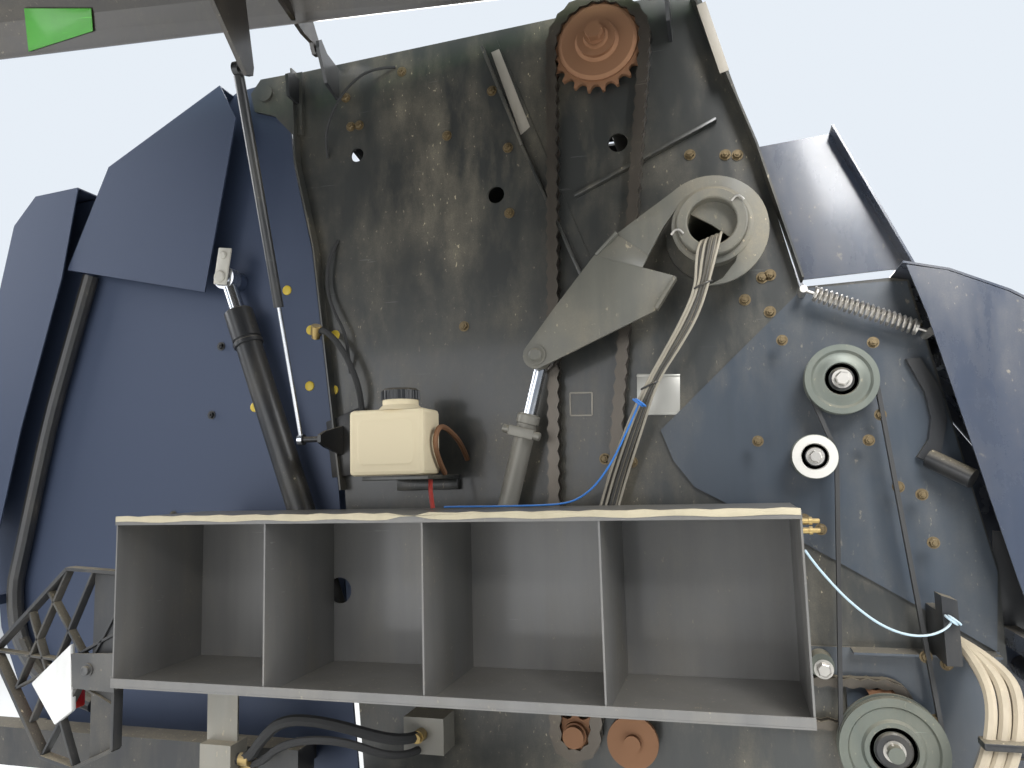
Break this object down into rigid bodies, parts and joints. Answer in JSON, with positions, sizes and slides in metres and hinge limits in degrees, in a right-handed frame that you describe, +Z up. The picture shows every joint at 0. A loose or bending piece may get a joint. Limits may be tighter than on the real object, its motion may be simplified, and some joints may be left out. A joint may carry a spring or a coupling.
{
  "type": "variable chamber round baler",
  "caption": "Towed round baler with a belt chamber, tailgate on cylinders, raised side cover on a gas strut, twine tray, pickup reel, drawbar with eye and parking jack",
  "frame": {"origin": "centre of the towing eye's bore, 480 mm above the ground", "axes": "+X forward along the drawbar, +Y to the machine's left, +Z up along the eye's bore"},
  "size_m": [4.636, 3.6233, 3.0532],
  "materials": {
    "frame_paint": "glossy dark navy paint, dusty",
    "panel_paint": "glossy navy paint, dusty",
    "cover_paint": "bright green moulding, dark inside",
    "gearbox_paint": "dark navy paint",
    "tyre_rubber": "worn tread, dusty",
    "belt_rubber": "ribbed rubber belt",
    "hose_rubber": "hydraulic hose",
    "rod_chrome": "hard chromed rod",
    "bare_steel": "bare steel, dusty",
    "rusty_steel": "rusty oiled steel",
    "dark_steel": "dark steel",
    "black_paint": "satin black paint",
    "wheel_paint": "off-white paint, dusty",
    "lamp_plastic": "black ribbed moulding",
    "bottle_plastic": "cream translucent bottle",
    "wire_plastic": "bundle of sheathed wires"
  },
  "bodies": {
    "frame": {"side_plate_right": "frame_paint", "side_plate_left": "frame_paint", "side_ribs": "frame_paint", "cross_beams": "frame_paint", "drive_plate": "panel_paint", "corner_guards": "panel_paint", "front_hood": "frame_paint", "axle": "frame_paint", "drawbar": "frame_paint", "gearbox": "gearbox_paint", "pto_shaft": "black_paint", "tray_right": "frame_paint", "tray_left": "frame_paint", "lamp_carriers": "lamp_plastic", "oil_bottle": "bottle_plastic", "sprockets": "rusty_steel", "main_chain": "rusty_steel", "lower_chain": "rusty_steel", "pulleys": "bare_steel", "cogged_belts": "belt_rubber", "coil_spring": "dark_steel", "lever_linkage": "dark_steel", "chamber_rollers": "bare_steel", "chamber_belts": "belt_rubber", "cover_hinges": "black_paint", "valve_block": "bare_steel", "frame_hoses": "hose_rubber", "wire_bundle": "wire_plastic"},
    "rotor": {"feed_rotor": "bare_steel"},
    "pickup": {"pickup_frame": "frame_paint", "pickup_bands": "bare_steel"},
    "reel": {"pickup_reel": "dark_steel"},
    "gauge_right": {"gauge_wheel_right": "tyre_rubber"},
    "gauge_left": {"gauge_wheel_left": "tyre_rubber"},
    "guard": {"windguard": "bare_steel"},
    "arms": {"tension_arms": "frame_paint"},
    "tension_barrels": {"arm_barrels": "black_paint"},
    "tension_rods": {"arm_rods": "rod_chrome"},
    "tailgate": {"gate_plates": "panel_paint", "gate_shrouds": "panel_paint", "gate_frame": "black_paint", "gate_rear_cover": "panel_paint", "gate_rollers": "bare_steel", "gate_belts": "belt_rubber"},
    "lift_barrels": {"gate_barrels": "black_paint"},
    "lift_rods": {"gate_rods": "rod_chrome"},
    "right_cover": {"cover_right": "cover_paint"},
    "right_strut_barrel": {"strut_barrel_right": "black_paint"},
    "right_strut_rod": {"strut_rod_right": "rod_chrome"},
    "left_cover": {"cover_left": "cover_paint"},
    "left_strut_barrel": {"strut_barrel_left": "black_paint"},
    "left_strut_rod": {"strut_rod_left": "rod_chrome"},
    "right_wheel": {"rim_right": "wheel_paint", "tyre_right": "tyre_rubber"},
    "left_wheel": {"rim_left": "wheel_paint", "tyre_left": "tyre_rubber"},
    "jack": {"parking_jack": "bare_steel"}
  },
  "joints": [
    {"name": "wheel_right_spin", "type": "hinge", "parent": "frame", "child": "right_wheel", "pos_m": [-3.06, -1, -0.055], "axis": [0, 1, 0], "continuous": true},
    {"name": "wheel_left_spin", "type": "hinge", "parent": "frame", "child": "left_wheel", "pos_m": [-3.06, 1, -0.055], "axis": [0, 1, 0], "continuous": true},
    {"name": "gate_hinge", "type": "hinge", "parent": "frame", "child": "tailgate", "pos_m": [-3.53, 0, 2.31], "axis": [0, 1, 0], "range_deg": [0, 60]},
    {"name": "gate_barrel_swing", "type": "hinge", "parent": "frame", "child": "lift_barrels", "pos_m": [-3.263, 0, 0.72], "axis": [0, -1, 0], "range_deg": [0, 10.9]},
    {"name": "gate_rod_slide", "type": "slide", "parent": "lift_barrels", "child": "lift_rods", "axis": [-0.3444, 0, 0.9388], "range_m": [0, 0.56]},
    {"name": "arm_swing", "type": "hinge", "parent": "frame", "child": "arms", "pos_m": [-2.216, 0, 1.707], "axis": [0, 1, 0], "range_deg": [0, 60]},
    {"name": "arm_barrel_swing", "type": "hinge", "parent": "frame", "child": "tension_barrels", "pos_m": [-2.876, 0, 0.64], "axis": [0, -1, 0], "range_deg": [0, 7.7]},
    {"name": "arm_rod_slide", "type": "slide", "parent": "tension_barrels", "child": "tension_rods", "axis": [0.2668, 0, 0.9637], "range_m": [0, 0.53]},
    {"name": "cover_right_hinge", "type": "hinge", "parent": "frame", "child": "right_cover", "pos_m": [-2.818, -0.72, 2.375], "axis": [-1, 0, 0], "range_deg": [-60, 0]},
    {"name": "strut_right_swing", "type": "hinge", "parent": "right_cover", "child": "right_strut_barrel", "pos_m": [-3.335, -1.05014, 2.14282], "axis": [-1, 0, 0], "range_deg": [0, 84]},
    {"name": "strut_right_slide", "type": "slide", "parent": "right_strut_barrel", "child": "right_strut_rod", "axis": [0, 0.3158, -0.9488], "range_m": [-0.225, 0]},
    {"name": "cover_left_hinge", "type": "hinge", "parent": "frame", "child": "left_cover", "pos_m": [-2.818, 0.72, 2.375], "axis": [1, 0, 0], "range_deg": [0, 60]},
    {"name": "strut_left_swing", "type": "hinge", "parent": "left_cover", "child": "left_strut_barrel", "pos_m": [-3.335, 0.684, 1.973], "axis": [1, 0, 0], "range_deg": [-84, 0]},
    {"name": "strut_left_slide", "type": "slide", "parent": "left_strut_barrel", "child": "left_strut_rod", "axis": [0, 0.0814, -0.9967], "range_m": [0, 0.225]},
    {"name": "pickup_lift", "type": "hinge", "parent": "frame", "child": "pickup", "pos_m": [-1.9, 0, 0.16], "axis": [0, 1, 0], "range_deg": [0, 5]},
    {"name": "reel_spin", "type": "hinge", "parent": "pickup", "child": "reel", "pos_m": [-1.56, 0, -0.05], "axis": [0, 1, 0], "continuous": true},
    {"name": "gauge_right_spin", "type": "hinge", "parent": "pickup", "child": "gauge_right", "pos_m": [-1.62, -1.05, -0.228], "axis": [0, 1, 0], "continuous": true},
    {"name": "gauge_left_spin", "type": "hinge", "parent": "pickup", "child": "gauge_left", "pos_m": [-1.62, 1.05, -0.228], "axis": [0, 1, 0], "continuous": true},
    {"name": "guard_tilt", "type": "hinge", "parent": "pickup", "child": "guard", "pos_m": [-1.5, 0, 0.15], "axis": [0, -1, 0], "range_deg": [0, 25]},
    {"name": "rotor_spin", "type": "hinge", "parent": "frame", "child": "rotor", "pos_m": [-2.01, 0, 0.08], "axis": [0, 1, 0], "continuous": true},
    {"name": "jack_slide", "type": "slide", "parent": "frame", "child": "jack", "axis": [0, 0, 1], "range_m": [0, 0.3]}
  ],
  "couplings": [
    {"joint": "gate_barrel_swing", "follows": "gate_hinge", "ratio": 0.17796},
    {"joint": "gate_rod_slide", "follows": "gate_hinge", "m_per_rad": 0.51878},
    {"joint": "arm_barrel_swing", "follows": "arm_swing", "ratio": 0.12543},
    {"joint": "arm_rod_slide", "follows": "arm_swing", "m_per_rad": 0.49355},
    {"joint": "strut_right_swing", "follows": "cover_right_hinge", "ratio": -1.3846},
    {"joint": "strut_right_slide", "follows": "cover_right_hinge", "m_per_rad": 0.20701},
    {"joint": "strut_left_swing", "follows": "cover_left_hinge", "ratio": -1.3846},
    {"joint": "strut_left_slide", "follows": "cover_left_hinge", "m_per_rad": 0.20701}
  ]
}
